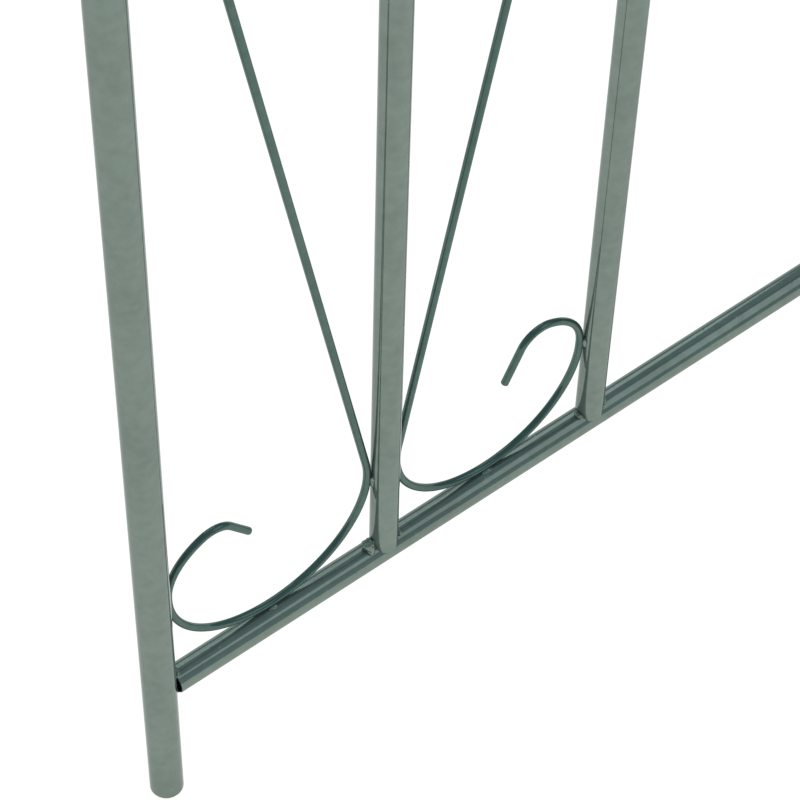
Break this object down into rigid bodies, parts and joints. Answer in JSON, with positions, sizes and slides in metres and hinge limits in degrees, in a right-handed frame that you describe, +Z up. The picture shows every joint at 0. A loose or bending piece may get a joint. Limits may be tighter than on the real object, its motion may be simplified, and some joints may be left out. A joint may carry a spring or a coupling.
{
  "type": "garden trellis arch",
  "caption": "Walk-through garden arch of painted steel tube with bent rod scrolls in its side panels, for climbing plants.",
  "frame": {"origin": "on the ground, midway between the four legs", "axes": "+Z up, +X to the right, -Y to the front, so that the walkway runs along Y"},
  "size_m": [1.325, 0.818, 2.3505],
  "materials": {
    "painted_steel": "gloss grey-green enamel over smooth steel tube",
    "zinc_plate": "bright zinc plate"
  },
  "bodies": {
    "root": {"hoop_half_front_left": "painted_steel", "hoop_half_front_right": "painted_steel", "hoop_half_rear_left": "painted_steel", "hoop_half_rear_right": "painted_steel", "joint_bolts": "zinc_plate", "joint_nuts": "zinc_plate", "lower_inner_scroll_front_left": "painted_steel", "lower_inner_scroll_front_right": "painted_steel", "lower_inner_scroll_rear_left": "painted_steel", "lower_inner_scroll_rear_right": "painted_steel", "lower_inner_tube_front_left": "painted_steel", "lower_inner_tube_front_right": "painted_steel", "lower_inner_tube_rear_left": "painted_steel", "lower_inner_tube_rear_right": "painted_steel", "lower_lyre_tube_front_left": "painted_steel", "lower_lyre_tube_front_right": "painted_steel", "lower_lyre_tube_rear_left": "painted_steel", "lower_lyre_tube_rear_right": "painted_steel", "lower_outer_scroll_front_left": "painted_steel", "lower_outer_scroll_front_right": "painted_steel", "lower_outer_scroll_rear_left": "painted_steel", "lower_outer_scroll_rear_right": "painted_steel", "lower_panel_bottom_rail_left": "painted_steel", "lower_panel_bottom_rail_right": "painted_steel", "lower_panel_top_rail_left": "painted_steel", "lower_panel_top_rail_right": "painted_steel", "lower_post_front_left": "painted_steel", "lower_post_front_right": "painted_steel", "lower_post_rear_left": "painted_steel", "lower_post_rear_right": "painted_steel", "roof_bar_1": "painted_steel", "roof_bar_2": "painted_steel", "roof_bar_3": "painted_steel", "roof_bar_4": "painted_steel", "roof_bar_5": "painted_steel", "upper_inner_scroll_front_left": "painted_steel", "upper_inner_scroll_front_right": "painted_steel", "upper_inner_scroll_rear_left": "painted_steel", "upper_inner_scroll_rear_right": "painted_steel", "upper_inner_tube_front_left": "painted_steel", "upper_inner_tube_front_right": "painted_steel", "upper_inner_tube_rear_left": "painted_steel", "upper_inner_tube_rear_right": "painted_steel", "upper_lyre_tube_front_left": "painted_steel", "upper_lyre_tube_front_right": "painted_steel", "upper_lyre_tube_rear_left": "painted_steel", "upper_lyre_tube_rear_right": "painted_steel", "upper_outer_scroll_front_left": "painted_steel", "upper_outer_scroll_front_right": "painted_steel", "upper_outer_scroll_rear_left": "painted_steel", "upper_outer_scroll_rear_right": "painted_steel", "upper_panel_bottom_rail_left": "painted_steel", "upper_panel_bottom_rail_right": "painted_steel", "upper_panel_top_rail_left": "painted_steel", "upper_panel_top_rail_right": "painted_steel", "upper_post_front_left": "painted_steel", "upper_post_front_right": "painted_steel", "upper_post_rear_left": "painted_steel", "upper_post_rear_right": "painted_steel"}
  },
  "joints": []
}
